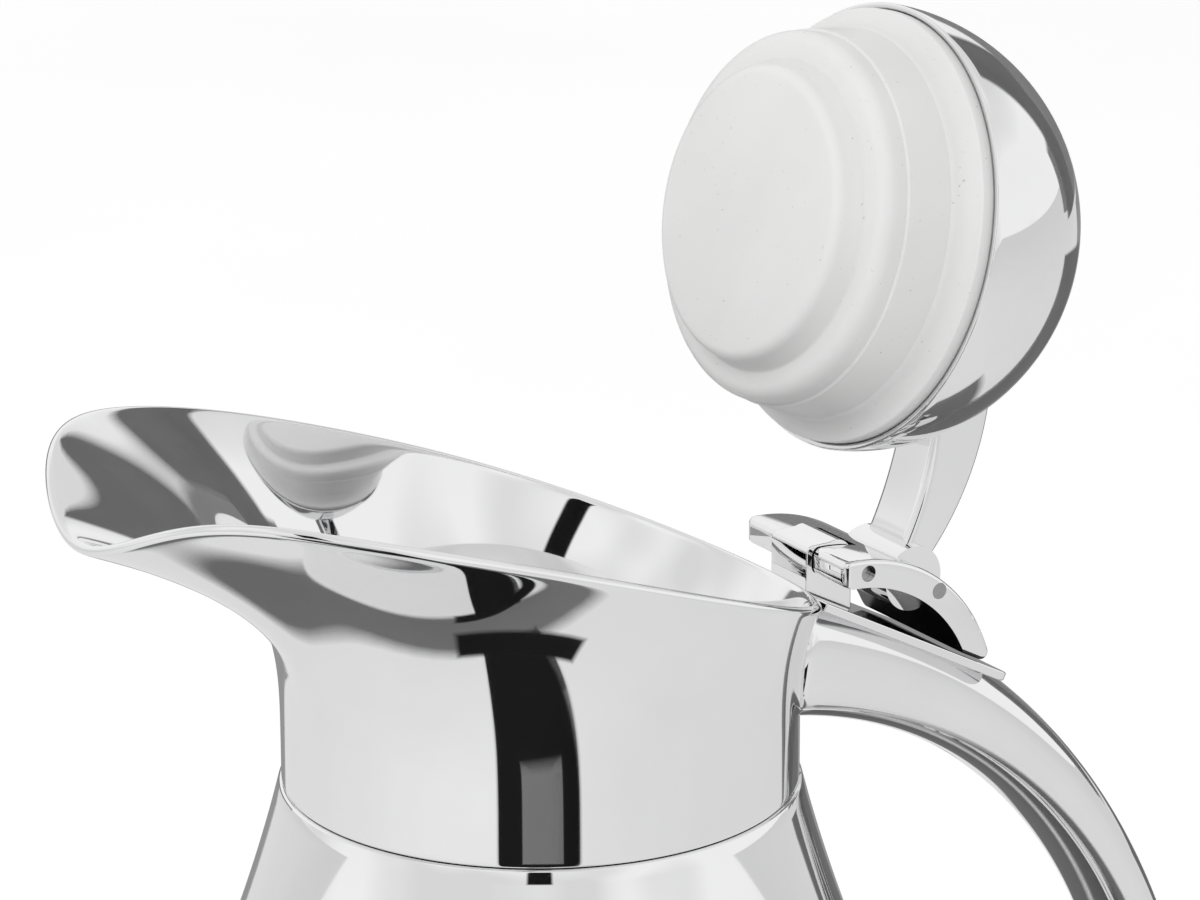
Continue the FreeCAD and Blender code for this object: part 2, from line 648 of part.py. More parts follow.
# Stopper: flange in the dome's rim, conical side, ledge and slightly domed face, hollow inside.
FLANGE_R = f"({DOME_IN} - stopper_flange_gap)"
ROOT_R = f"({MOUTH_R} - stopper_fit)"
ROOT_CHORD = f"sqrt(({FLANGE_R} - {ROOT_R}) ^ 2 + (stopper_root_depth - stopper_flange_depth) ^ 2)"
SHOULDER_R = f"({ROOT_R} - stopper_side_in)"
SHOULDER_DEPTH = "(stopper_ledge_depth - stopper_shoulder_curve)"
PLUG_R = f"({ROOT_R} - stopper_plug_in)"
PLUG_DEPTH = "(stopper_ledge_depth + stopper_plug_height)"
stopper = body_named("stopper")
turn(stopper, "stopper_outside", [
    ("0", depth("0")),
    ("0", depth(f"{PLUG_DEPTH} + stopper_plug_curve + stopper_crown")),
    (f"{PLUG_R} - stopper_plug_curve", depth(f"{PLUG_DEPTH} + stopper_plug_curve"),
     "stopper_plug_curve", 1),
    (PLUG_R, depth(PLUG_DEPTH)),
    (f"{PLUG_R} + stopper_plug_taper", depth("stopper_ledge_depth")),
    (f"{SHOULDER_R} - stopper_shoulder_curve", depth("stopper_ledge_depth"),
     "stopper_shoulder_curve", 1),
    (SHOULDER_R, depth(SHOULDER_DEPTH)),
    (f"{ROOT_R} - stopper_step_in", depth(f"{SHOULDER_DEPTH} - stopper_step_height")),
    (ROOT_R, depth("stopper_root_depth"), f"{ROOT_CHORD} * root_roundness", -1),
    (FLANGE_R, depth("stopper_flange_depth")),
    (FLANGE_R, depth("0")),
])
turn(stopper, "stopper_hollow", [
    ("boss_radius", depth(f"0 - {PAST}")),
    ("boss_radius", depth("stopper_ledge_depth - stopper_wall")),
    (f"{SHOULDER_R} - stopper_shoulder_curve - stopper_wall", depth("stopper_ledge_depth - stopper_wall")),
    (f"{ROOT_R} - stopper_wall", depth("stopper_root_depth")),
    (f"{ROOT_R} - stopper_wall", depth(f"0 - {PAST}")),
], cut=True)
turn(stopper, "stopper_thread", [
    ("0", depth(f"0 - {PAST}")),
    ("0", depth("stud_depth")),
    ("stud_radius + press_gap", depth("stud_depth")),
    ("stud_radius + press_gap", depth(f"0 - {PAST}")),
], cut=True)
open_lid(stopper)

# Stud inside the dome, and the insulation around it.
lid_stud = body_named("lid_stud")
STUD_TOP = f"({LID_Z} + sqrt({DOME_IN} ^ 2 - stud_radius ^ 2))"
turn(lid_stud, "stud_rod", [
    ("0", depth("stud_depth")),
    ("stud_radius", depth("stud_depth")),
    ("stud_radius", STUD_TOP),
    ("0", STUD_TOP),
])
open_lid(lid_stud)
lid_foam = body_named("lid_foam")
FOAM_R = f"({DOME_IN} - foam_gap)"
FOAM_HOLE = "(stud_radius + foam_gap)"
turn(lid_foam, "foam_half_ball", [
    (FOAM_HOLE, LID_Z),
    (FOAM_R, LID_Z, FOAM_R, 1),
    (FOAM_HOLE, f"{LID_Z} + sqrt({FOAM_R} ^ 2 - {FOAM_HOLE} ^ 2)"),
])
open_lid(lid_foam)

# Handle: a pressed channel and a strip that closes its underside. Sections stand square on a centre line
# of three arcs and a straight run, and change from a broad root to a slim oval grip.
SECTION_POINTS = 13
TOP_STEPS = 6
MID_STEPS = 1
LOW_STEPS = 4


def handle_stations():
    """Centre, direction below level and share of the way from root to grip, section by section."""
    x = size("neck_radius - handle_root_depth")
    z = size("seam_height + handle_root_rise")
    down = size("handle_root_slope")
    runs = (
        (size("handle_top_curve"), size("handle_mid_angle"), TOP_STEPS),
        (size("handle_mid_curve"), 90.0, MID_STEPS),
        (size("handle_low_curve"), 180.0, LOW_STEPS),
    )
    stations = [(x, z, down)]
    for radius, stop, steps in runs:
        start = down
        cx = x - radius * math.sin(math.radians(start))
        cz = z - radius * math.cos(math.radians(start))
        for i in range(1, steps + 1):
            down = start + (stop - start) * i / steps
            x = cx + radius * math.sin(math.radians(down))
            z = cz + radius * math.cos(math.radians(down))
            stations.append((x, z, down))
    stations.append((size("belly_radius") - size("root_half_height"), z, down))
    return stations


def handle_pressing(first, last, wall):
    """Loft the part of the handle between two angles around its sections."""
    stations = handle_stations()
    wires = []
    for i, (x, z, down) in enumerate(stations):
        near = min(i / TOP_STEPS, 1.0)
        ease = 1 - (1 - near) ** size("root_ease")
        far = max(i - TOP_STEPS, 0) / (len(stations) - 1 - TOP_STEPS)
        low = size("root_half_height") + (size("grip_half_height") - size("root_half_height")) * ease
        low += (size("tail_half_height") - size("grip_half_height")) * far
        root_wide = size("lever_width / 2 - root_inset")
        wide = root_wide + (size("grip_half_width") - root_wide) * ease
        wide += (size("tail_half_width") - size("grip_half_width")) * far
        power = 2 / (size("root_squareness") + (size("grip_squareness") - size("root_squareness")) * ease)
        out = FreeCAD.Vector(math.sin(math.radians(down)), 0, math.cos(math.radians(down)))
        middle = FreeCAD.Vector(x, 0, z)

        def curve(shrink):
            spots = []
            for k in range(SECTION_POINTS):
                turned = math.radians(first + (last - first) * k / (SECTION_POINTS - 1))
                c = math.cos(turned)
                s = math.sin(turned)
                y = (wide - shrink) * math.copysign(abs(c) ** power, c)
                n = (low - shrink) * math.copysign(abs(s) ** power, s)
                spots.append(middle + out * n + FreeCAD.Vector(0, y, 0))
            line = Part.BSplineCurve()
            line.interpolate(spots)
            return line.toShape(), spots

        outer, outer_spots = curve(0)
        inner, inner_spots = curve(wall)
        far_edge = Part.makeLine(outer_spots[-1], inner_spots[-1])
        near_edge = Part.makeLine(inner_spots[0], outer_spots[0])
        wires.append(Part.Wire([outer, far_edge, inner, near_edge]))
    return Part.makeLoft(wires, True, False)


collar_room = Part.makeCone(
    size("neck_radius + weld_gap"),
    size("neck_radius + weld_gap") + (rim_at(0)[0] - size("neck_radius")) * 2,
    rim_at(0)[1] * 2,
    FreeCAD.Vector(0, 0, size("seam_height")),
)
body_profile = outer_shell.Group[0].Shape
body_room = Part.Face(body_profile).revolve(FreeCAD.Vector(), FreeCAD.Vector(0, 0, 1), 360)
plate_tilt = FreeCAD.Rotation(FreeCAD.Vector(0, 1, 0), size("plate_slope"))
plate_up = plate_tilt.multVec(FreeCAD.Vector(0, 0, 1))
plate_front = FreeCAD.Vector(size(PLATE_X), 0, size("seam_height + plate_rise"))
room = size("plate_length") * 4
plate_room = Part.makeBox(room, room, room, FreeCAD.Vector(-room / 2, -room / 2, 0))
plate_room.Placement = FreeCAD.Placement(plate_front - plate_up * size("plate_thickness"), plate_tilt)
split = size("split_angle")
groove = math.degrees(size("split_gap / grip_half_height")) / 2
for label, first, last in (
    ("handle_outer", groove - split, 180 + split - groove),
    ("handle_inner", 180 + split + groove, 360 - split - groove),
):
    pressing = handle_pressing(first, last, size("handle_wall"))
    pressing = pressing.cut(collar_room).cut(body_room).cut(plate_room)
    handle = doc.addObject("Part::Feature", label)
    handle.Label = label
    handle.Shape = max(pressing.Solids, key=lambda s: s.Volume)
    handle.Placement = FreeCAD.Placement()

doc.recompute()

NODES = [
    outer_shell, inner_flask, shell_bottom, vacuum_seal, getter, base_cover, foot_pad,
    neck_gasket, mouth_ring, spout_collar, hinge_plate, hinge_lug, thumb_lever, hinge_pin, arm_pin,
    lid_arm, lid_dome, stopper, lid_stud, lid_foam,
    doc.getObject("handle_outer"), doc.getObject("handle_inner"),
]
for item in doc.Objects:
    if "Invalid" in item.State or "Error" in item.State:
        raise RuntimeError(f"{item.Label} did not build: {item.State}")
os.makedirs("parts", exist_ok=True)
for node in NODES:
    shape = node.Shape
    if shape.isNull() or not shape.isValid() or len(shape.Solids) != 1:
        raise RuntimeError(f"{node.Label} is not one sound solid")
    shape.exportStep(f"parts/{node.Label}.step")
    box = shape.BoundBox
    print(f"{node.Label:14s} {shape.Volume / 1000:8.2f} cm3  x {box.XMin:.1f} to {box.XMax:.1f}"
          f"  y {box.YMin:.1f} to {box.YMax:.1f}  z {box.ZMin:.1f} to {box.ZMax:.1f}")
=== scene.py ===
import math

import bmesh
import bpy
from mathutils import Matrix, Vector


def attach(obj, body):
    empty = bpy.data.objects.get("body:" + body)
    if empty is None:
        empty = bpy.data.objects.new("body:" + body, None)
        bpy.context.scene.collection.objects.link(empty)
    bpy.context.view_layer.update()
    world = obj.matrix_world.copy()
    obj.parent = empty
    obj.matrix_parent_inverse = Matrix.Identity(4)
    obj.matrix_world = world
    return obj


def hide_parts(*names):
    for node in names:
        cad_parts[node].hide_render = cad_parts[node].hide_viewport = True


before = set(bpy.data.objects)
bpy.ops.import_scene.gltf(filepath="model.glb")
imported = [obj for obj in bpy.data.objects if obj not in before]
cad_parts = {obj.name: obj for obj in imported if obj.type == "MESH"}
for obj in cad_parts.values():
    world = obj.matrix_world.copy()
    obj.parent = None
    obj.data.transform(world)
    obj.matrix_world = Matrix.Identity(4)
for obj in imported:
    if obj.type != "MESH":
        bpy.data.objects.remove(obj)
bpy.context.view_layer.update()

# %% [markdown]
# # A polished thermal carafe with its lid open
#
# The CAD part stands on Z = 0 with its pouring lip towards -X and its handle towards +X. Most of it is
# mirror-polished steel, and a mirror shows every flat facet, so the big curved pieces are modelled
# again here as smooth surfaces from the same sizes. The small flat pieces keep the CAD shape, with
# their triangles joined and their edges softened.

MM = 0.001

# %% [markdown]
# ## Sizes
#
# The same named sizes as the CAD part, in metres. Heights of the collar, hinge and lid are counted from
# the seam between body and collar, as in the CAD part.

# %%
SEAM = 150 * MM
NECK_R = 40 * MM
SHOULDER_R = 40.4 * MM
FLANK_Z, FLANK_R = 128 * MM, 47 * MM
BELLY_Z, BELLY_R = 42 * MM, 62 * MM
SKIRT_Z, BASE_R = 9 * MM, 52 * MM
SHELL_LIFT, SHELL_WALL = 1 * MM, 1 * MM
SHOULDER_CURVE = 240 * MM
COLLAR_WALL = 1.8 * MM
FLARE_START, FLARE_POWER = 11 * MM, 2.5
RIM_R, SPOUT_REACH, SPOUT_SHARPNESS = 43.5 * MM, 79.6 * MM, 5.1
RIM_MID, RIM_TILT, RIM_BOW = 41.7 * MM, math.radians(19.4), 455 * MM
LIP_DIP, LIP_SPREAD = 12 * MM, math.radians(14.5)
PIVOT = Vector((51.8 * MM, 0, SEAM + 26.6 * MM))
OPEN_ANGLE = math.radians(105)
LID_Z = SEAM + 19.3 * MM
DOME_R, DOME_WALL = 35 * MM, 1 * MM
PLATE_TOP = Vector((44.1 * MM, 0, SEAM + 23.2 * MM))
PLATE_SLOPE, PLATE_THICKNESS = math.radians(28), 1.5 * MM

# %% [markdown]
# ## Materials
#
# Every finish is built from nodes on Object coordinates. Polished steel is a metal with a very low
# roughness that wanders a little, and a faint waviness, because a hand-polished sheet is never quite
# even. It could be one flat mirror, but that looks like chrome paint. The hollow under the lever is
# painted a near-black steel, which is painted shade for the shadowed hollow under the hinge. The stopper
# is a white plastic that lets some light in, with a few specks.

# %%
def new_material(name, color, roughness, metallic=0.0):
    mat = bpy.data.materials.new(name)
    mat.use_nodes = True
    shader = mat.node_tree.nodes["Principled BSDF"]
    shader.inputs["Base Color"].default_value = (*color, 1)
    shader.inputs["Roughness"].default_value = roughness
    shader.inputs["Metallic"].default_value = metallic
    return mat, shader


def noise_on(mat, scale, detail=3.0, stretch=(1, 1, 1)):
    nodes, links = mat.node_tree.nodes, mat.node_tree.links
    coords = nodes.new("ShaderNodeTexCoord")
    mapping = nodes.new("ShaderNodeMapping")
    mapping.inputs["Scale"].default_value = stretch
    noise = nodes.new("ShaderNodeTexNoise")
    noise.inputs["Scale"].default_value = scale
    noise.inputs["Detail"].default_value = detail
    links.new(coords.outputs["Object"], mapping.inputs["Vector"])
    links.new(mapping.outputs["Vector"], noise.inputs["Vector"])
    return noise


def ramp_on(mat, source, low, high, at=(0.3, 0.7)):
    ramp = mat.node_tree.nodes.new("ShaderNodeValToRGB")
    ramp.color_ramp.elements[0].position = at[0]
    ramp.color_ramp.elements[0].color = (*low, 1) if isinstance(low, tuple) else (low, low, low, 1)
    ramp.color_ramp.elements[1].position = at[1]
    ramp.color_ramp.elements[1].color = (*high, 1) if isinstance(high, tuple) else (high, high, high, 1)
    mat.node_tree.links.new(source, ramp.inputs["Fac"])
    return ramp


def bump_on(mat, shader, source, strength, distance):
    bump = mat.node_tree.nodes.new("ShaderNodeBump")
    bump.inputs["Strength"].default_value = strength
    bump.inputs["Distance"].default_value = distance
    mat.node_tree.links.new(source, bump.inputs["Height"])
    mat.node_tree.links.new(bump.outputs["Normal"], shader.inputs["Normal"])


def finish(name, low, high, rough, metallic=0.0, scale=40.0, stretch=(1, 1, 1), bump=0.0, distance=0.0001):
    """A surface whose colour wanders between low and high, and whose roughness wanders too."""
    mat, shader = new_material(name, low, rough[0], metallic)
    noise = noise_on(mat, scale, stretch=stretch)
    tint = ramp_on(mat, noise.outputs["Fac"], low, high)
    mat.node_tree.links.new(tint.outputs["Color"], shader.inputs["Base Color"])
    gloss = ramp_on(mat, noise.outputs["Fac"], rough[0], rough[1])
    mat.node_tree.links.new(gloss.outputs["Color"], shader.inputs["Roughness"])
    if bump:
        bump_on(mat, shader, noise.outputs["Fac"], bump, distance)
    return mat, shader


polished, _ = finish("polished steel", (0.82, 0.82, 0.825), (0.86, 0.86, 0.865), (0.02, 0.045),
                     metallic=1.0, scale=30.0, bump=0.05)
satin, _ = finish("satin steel", (0.70, 0.70, 0.705), (0.78, 0.78, 0.785), (0.18, 0.28),
                  metallic=1.0, scale=60.0, stretch=(1, 1, 8))
# Painted shade: a near-black steel for the lever's hollow, standing in for the shade under the hinge.
shade_painted_steel, _ = finish("steel painted with shade", (0.035, 0.035, 0.035), (0.06, 0.06, 0.06), (0.30, 0.42),
                       metallic=1.0, scale=120.0)
pin_steel, _ = finish("pin steel", (0.34, 0.34, 0.34), (0.46, 0.46, 0.46), (0.18, 0.30),
                      metallic=1.0, scale=400.0)
rubber, _ = finish("dark rubber", (0.03, 0.03, 0.03), (0.06, 0.06, 0.06), (0.6, 0.8), scale=300.0)
silicone, _ = finish("grey silicone", (0.35, 0.35, 0.35), (0.42, 0.42, 0.42), (0.4, 0.55), scale=200.0)
foam, _ = finish("white foam", (0.70, 0.70, 0.68), (0.80, 0.80, 0.78), (0.8, 0.95),
                 scale=900.0, bump=0.3, distance=0.0003)
brass, _ = finish("brass plug", (0.62, 0.45, 0.20), (0.74, 0.56, 0.28), (0.25, 0.4),
                  metallic=1.0, scale=300.0)
sinter, _ = finish("getter metal", (0.16, 0.16, 0.16), (0.28, 0.28, 0.28), (0.5, 0.7),
                   metallic=1.0, scale=900.0, bump=0.2, distance=0.0002)
stopper_white, shader = finish("white stopper", (0.79, 0.79, 0.785), (0.835, 0.835, 0.83), (0.34, 0.46),
                               scale=45.0)
shader.inputs["Subsurface Weight"].default_value = 0.25
shader.inputs["Subsurface Radius"].default_value = (0.004, 0.004, 0.004)
shader.inputs["Subsurface Scale"].default_value = 1.0
specks = noise_on(stopper_white, 1500.0, detail=1.0)
dots = ramp_on(stopper_white, specks.outputs["Fac"], 1.0, 0.75, at=(0.76, 0.79))
blend = stopper_white.node_tree.nodes.new("ShaderNodeMix")
blend.data_type = "RGBA"
blend.blend_type = "MULTIPLY"
blend.inputs["Factor"].default_value = 1.0
tint = shader.inputs["Base Color"].links[0].from_socket
stopper_white.node_tree.links.new(tint, blend.inputs["A"])
stopper_white.node_tree.links.new(dots.outputs["Color"], blend.inputs["B"])
stopper_white.node_tree.links.new(blend.outputs["Result"], shader.inputs["Base Color"])
print("materials", len(bpy.data.materials))

# %% [markdown]
# ## Helpers for smooth pieces
#
# A turned piece is an outline in the XZ plane that is spun about the upright axis. A ring piece is a row
# of loops that are bridged one to the next. Both end with their normals facing out and smooth shading.

# %%
WELD = 0.001 * MM
SPIN_STEPS = 144
EDGE_SEGMENTS = 3


def to_object(bm, name, mat, body, *nodes, sharp=180):
    """sharp is the angle in degrees from which an edge stays crisp."""
    bmesh.ops.recalc_face_normals(bm, faces=bm.faces)
    for face in bm.faces:
        face.smooth = True
    for edge in bm.edges:
        edge.smooth = edge.calc_face_angle(0) < math.radians(sharp)
    mesh = bpy.data.meshes.new(name)
    bm.to_mesh(mesh)
    bm.free()
    obj = bpy.data.objects.new(name, mesh)
    bpy.context.scene.collection.objects.link(obj)
    mesh.materials.append(mat)
    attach(obj, body)
    if nodes:
        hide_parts(*nodes)
    print(name, len(mesh.polygons), "faces")
    return obj


def smooth_levels(obj, levels):
    sub = obj.modifiers.new("smooth", "SUBSURF")
    sub.levels = levels
    sub.render_levels = levels


def arc_to(points, end, radius, left, steps):
    """Carry a 2-D outline on to its next corner along an arc."""
    start = Vector(points[-1])
    end = Vector(end)
    chord = end - start
    side = Vector((-chord.y, chord.x)).normalized() * (1 if left else -1)
    centre = (start + end) / 2 + side * math.sqrt(max(radius ** 2 - (chord.length / 2) ** 2, 0))
    first = start - centre
    last = end - centre
    sweep = first.angle_signed(last)
    for i in range(1, steps + 1):
        turned = first.copy()
        turned.rotate(Matrix.Rotation(-sweep * i / steps, 2))
        points.append(tuple(centre + turned))


def spun(points, closed, rounds=()):
    """Spin an outline of (radius, height) points; rounds are (point index, radius)."""
    bm = bmesh.new()
    verts = [bm.verts.new((r, 0, z)) for r, z in points]
    for a, b in zip(verts, verts[1:]):
        bm.edges.new((a, b))
    if closed:
        bm.edges.new((verts[-1], verts[0]))
    for index, radius in rounds:
        bmesh.ops.bevel(bm, geom=[verts[index]], offset=radius, offset_type="OFFSET",
                        segments=EDGE_SEGMENTS, profile=0.5, affect="VERTICES", material=-1)
    bmesh.ops.spin(bm, geom=bm.verts[:] + bm.edges[:], cent=(0, 0, 0), axis=(0, 0, 1),
                   angle=2 * math.pi, steps=SPIN_STEPS, use_merge=True)
    bmesh.ops.remove_doubles(bm, verts=bm.verts, dist=WELD)
    return bm


def swing_open(bm):
    """Turn a piece that is drawn with the lid shut about the hinge pin, to the open lid."""
    bmesh.ops.rotate(bm, verts=bm.verts, cent=PIVOT, matrix=Matrix.Rotation(OPEN_ANGLE, 3, "Y"))


def bridged(rings, cap):
    """Loops of the same count, bridged one to the next; cap closes the two ends."""
    bm = bmesh.new()
    loops = []
    for ring in rings:
        made = bmesh.ops.create_circle(bm, cap_ends=False, radius=1, segments=len(ring))
        for vert, spot in zip(made["verts"], ring):
            vert.co = spot
        loops.append(made["verts"])
    edge_sets = []
    for loop in loops:
        edge_sets.append(list({e for v in loop for e in v.link_edges}))
    for a, b in zip(edge_sets, edge_sets[1:]):
        bmesh.ops.bridge_loops(bm, edges=a + b)
    if cap:
        bmesh.ops.contextual_create(bm, geom=edge_sets[0])
        bmesh.ops.contextual_create(bm, geom=edge_sets[-1])
    return bm, edge_sets


# %% [markdown]
# ## Body shell
#
# The pear shape is three arcs above a straight skirt: the lower belly, the long upper belly and the
# hollow shoulder. It could be a lofted surface, but a spun outline of arcs is exactly round, which is
# what the reflections need.

# %%
SHOULDER_EDGE, FOOT_EDGE = 0.35 * MM, 0.5 * MM


def upright_arc(dr, dz):
    return (dr ** 2 + dz ** 2) / (2 * dr)


LOW_CURVE = upright_arc(BELLY_R - BASE_R, BELLY_Z - SKIRT_Z)
HIGH_CURVE = upright_arc(BELLY_R - FLANK_R, FLANK_Z - BELLY_Z)
outline = [(BASE_R - SHELL_WALL, SHELL_LIFT), (BASE_R, SHELL_LIFT), (BASE_R, SKIRT_Z)]
arc_to(outline, (BELLY_R, BELLY_Z), LOW_CURVE, left=True, steps=14)
arc_to(outline, (FLANK_R, FLANK_Z), HIGH_CURVE, left=True, steps=24)
arc_to(outline, (SHOULDER_R, SEAM), SHOULDER_CURVE, left=False, steps=10)
top_corner = len(outline) - 1
outline.append((NECK_R - COLLAR_WALL, SEAM))
outline.append((NECK_R - COLLAR_WALL - SHELL_WALL, SEAM - 2 * SHELL_WALL))
outline.append((FLANK_R - SHELL_WALL, FLANK_Z))
arc_to(outline, (BELLY_R - SHELL_WALL, BELLY_Z), HIGH_CURVE, left=False, steps=12)
arc_to(outline, (BASE_R - SHELL_WALL, SKIRT_Z), LOW_CURVE, left=False, steps=8)
bm = spun(outline, True, [(top_corner, SHOULDER_EDGE), (1, FOOT_EDGE)])
to_object(bm, "shell", polished, "jug", "outer_shell")


def body_radius(z):
    """Outside of the body at a height below the flank."""
    if z < BELLY_Z:
        return BELLY_R - LOW_CURVE + math.sqrt(LOW_CURVE ** 2 - (BELLY_Z - z) ** 2)
    return BELLY_R - HIGH_CURVE + math.sqrt(HIGH_CURVE ** 2 - (z - BELLY_Z) ** 2)


# %% [markdown]
# ## Collar and pouring lip
#
# Every upright section of the collar starts straight and flares more and more up to the rim. The rim's
# reach and height change around the axis: nearly a circle at the back, a long nose in front, with a dip
# where the drink runs out. The rings go up the outside, over a rounded rim and down the inside. There the
# collar narrows like a funnel and ends on the mouth ring, most at the back, because the photograph's far
# inner wall mirrors the bright room above and not the near wall. It could be cut from a solid, but
# bridged rings give even quads, which subdivide to a clean mirror.

# %%
RING = 96
OUTSIDE_LEVELS = (0.0, 0.12, 0.25, 0.38, 0.5, 0.62, 0.74, 0.85, 0.93)
INSIDE_SHARES = (0.93, 0.85, 0.74, 0.62, 0.5, 0.38, 0.25, 0.12, 0.02, 0.0)
RIM_TURNS = range(0, 181, 30)
SEAM_EDGE = 0.3 * MM
COLLAR_LEVELS = 2
SLOPE_STEP = 0.001
FUNNEL_DEPTH, FUNNEL_LEAST, FUNNEL_FOOT = 3.8 * MM, 0.4 * MM, 14.1 * MM
FUNNEL_CURVE, FUNNEL_SPREAD = 1.5, 0.6


def rim_at(angle):
    blend = ((1 - math.cos(angle)) / 2) ** SPOUT_SHARPNESS
    reach = RIM_R + (SPOUT_REACH - RIM_R) * blend
    x = reach * math.cos(angle)
    height = RIM_MID - math.tan(RIM_TILT) * x - x ** 2 / (2 * RIM_BOW)
    away = (math.pi - abs(angle)) / LIP_SPREAD
    return reach, height - LIP_DIP * math.exp(-away ** 2)


def collar_point(angle, level):
    reach, height = rim_at(angle)
    radius = NECK_R + (reach - NECK_R) * max(level, 0) ** FLARE_POWER
    z = SEAM + FLARE_START + (height - FLARE_START) * level
    return Vector((radius * math.cos(angle), radius * math.sin(angle), z))


def collar_frame(angle, level):
    """Point on the outside, the way up along it and the way in through the wall."""
    spot = collar_point(angle, level)
    up = collar_point(angle, level + SLOPE_STEP) - collar_point(angle, level - SLOPE_STEP)
    up.normalize()
    along = collar_point(angle + SLOPE_STEP, level) - collar_point(angle - SLOPE_STEP, level)
    return spot, up, up.cross(along).normalized()


def funnel(angle):
    """Extra thickness at the foot of the inside, most at the back and least under the lip."""
    return FUNNEL_LEAST + FUNNEL_DEPTH * ((1 + math.cos(angle)) / 2) ** FUNNEL_SPREAD


angles = [2 * math.pi * i / RING - math.pi for i in range(RING)]


def neck_loop(radius, z):
    return [Vector((radius * math.cos(a), radius * math.sin(a), z)) for a in angles]


def rim_point(angle, turn):
    """Point on the half round that joins outside and inside at the rim."""
    spot, up, inward = collar_frame(angle, 1.0)
    half = COLLAR_WALL / 2
    t = math.radians(turn)
    return spot - up * half + inward * half * (1 - math.cos(t)) + up * half * math.sin(t)


def inside_point(angle, share):
    """Point on the inside; share runs from 0 at the funnel's foot to 1 at the rim."""
    foot = (FUNNEL_FOOT - FLARE_START) / (rim_at(angle)[1] - FLARE_START)
    level = foot + (1 - foot) * share
    spot, _, inward = collar_frame(angle, level)
    spot = spot + inward * (COLLAR_WALL + funnel(angle) * (1 - level) ** FUNNEL_CURVE)
    spot.z = max(spot.z, SEAM + FUNNEL_FOOT)
    return spot


rings = [neck_loop(NECK_R - SEAM_EDGE, SEAM), neck_loop(NECK_R, SEAM + SEAM_EDGE)]
rings.append(neck_loop(NECK_R, SEAM + 3 * SEAM_EDGE))
rings.append(neck_loop(NECK_R, SEAM + FLARE_START / 2))
for level in OUTSIDE_LEVELS:
    rings.append([collar_point(a, level) for a in angles])
for turn in RIM_TURNS:
    rings.append([rim_point(a, turn) for a in angles])
for share in INSIDE_SHARES:
    rings.append([inside_point(a, share) for a in angles])
rings.append(neck_loop(NECK_R - COLLAR_WALL, SEAM + FUNNEL_FOOT))
rings.append(neck_loop(NECK_R - COLLAR_WALL, SEAM))
bm, edge_sets = bridged(rings, False)
bmesh.ops.bridge_loops(bm, edges=edge_sets[0] + edge_sets[-1])
smooth_levels(to_object(bm, "collar", polished, "jug", "spout_collar"), COLLAR_LEVELS)

# %% [markdown]
# ## Handle
#
# Sections stand square on a centre line of three arcs and a straight run. The root is broad and boxy and
# the grip is a slim oval. A strip closes the underside of the pressed channel, so each section has a fine
# groove at both lower corners. Every lengthwise line starts on the collar, where the edge is rounded as
# on a polished weld, and stops on the belly. A cutting plane takes off what would stand up through the
# hinge plate. A boolean could trim it too, but lines that end on the surface keep the mesh clean for a
# mirror finish.

# %%
ROOT = Vector((36 * MM, 0, SEAM + 14.2 * MM))
ROOT_SLOPE = 11.5
HANDLE_ARCS = ((108 * MM, 67.5, 4), (70 * MM, 90.0, 1), (38 * MM, 180.0, 4))
GRIP_AT, TAIL_AT = 4, 10
TAIL_X = 51.2 * MM
ROOT_EASE = 1.6
ROOT_HALF = (10.8 * MM, 13.6 * MM, 3.2)
GRIP_HALF = (5.2 * MM, 9.4 * MM, 2.2)
TAIL_HALF = (4.8 * MM, 8.0 * MM, 2.2)
SPLIT, GROOVE_HALF, GROOVE_DEPTH = 36.0, 1.6, 0.5 * MM
CHANNEL_POINTS, STRIP_POINTS = 48, 24
LENGTH_STEPS = 110
ROOT_ROUND, ROOT_ROUND_STEPS = 2.6 * MM, 8
TOUCH = 0.05 * MM
HALVINGS = 30
CRISP_ANGLE = 35


def out_of(down):
    return Vector((math.sin(math.radians(down)), 0, math.cos(math.radians(down))))


def spine(u):
    """Centre and slope of the handle at station u, which runs from 0 at the root to 10 in the belly."""
    spot, down = ROOT.copy(), ROOT_SLOPE
    for radius, stop, steps in HANDLE_ARCS:
        share = min(max(u, 0) / steps, 1)
        centre = spot - out_of(down) * radius
        down = down + (stop - down) * share
        spot = centre + out_of(down) * radius
        u -= steps
        if u <= 0:
            return spot, down
    return spot + Vector((TAIL_X - spot.x, 0, 0)) * u, down


def section(u):
    """Half height, half width and power of the section at a station."""
    ease = 1 - (1 - min(u / GRIP_AT, 1)) ** ROOT_EASE
    far = max(u - GRIP_AT, 0) / (TAIL_AT - GRIP_AT)
    halves = zip(ROOT_HALF, GRIP_HALF, TAIL_HALF)
    low, wide, square = (r + (g - r) * ease + (t - g) * far for r, g, t in halves)
    return low, wide, 2 / square


CHANNEL_ARC = 180 + 2 * SPLIT - 2 * GROOVE_HALF
STRIP_ARC = 180 - 2 * SPLIT - 2 * GROOVE_HALF
LOOP = [(-SPLIT, GROOVE_DEPTH)]
for i in range(CHANNEL_POINTS + 1):
    LOOP.append((GROOVE_HALF - SPLIT + CHANNEL_ARC * i / CHANNEL_POINTS, 0))
LOOP.append((180 + SPLIT, GROOVE_DEPTH))
for i in range(STRIP_POINTS + 1):
    LOOP.append((180 + SPLIT + GROOVE_HALF + STRIP_ARC * i / STRIP_POINTS, 0))


def handle_point(u, k, rounding=0.0):
    """Point k of the loop around station u: groove, channel, groove, strip."""
    spot, down = spine(u)
    low, wide, power = section(u)
    angle, sunk = LOOP[k]
    sunk += rounding
    c, s = math.cos(math.radians(angle)), math.sin(math.radians(angle))
    y = (wide - sunk) * math.copysign(abs(c) ** power, c)
    n = (low - sunk) * math.copysign(abs(s) ** power, s)
    return spot + out_of(down) * n + Vector((0, y, 0))


COLLAR_SLOPE = (RIM_R - NECK_R) / rim_at(0)[1]


def clear_of_collar(p):
    return math.hypot(p.x, p.y) > NECK_R + TOUCH + (p.z - SEAM) * COLLAR_SLOPE


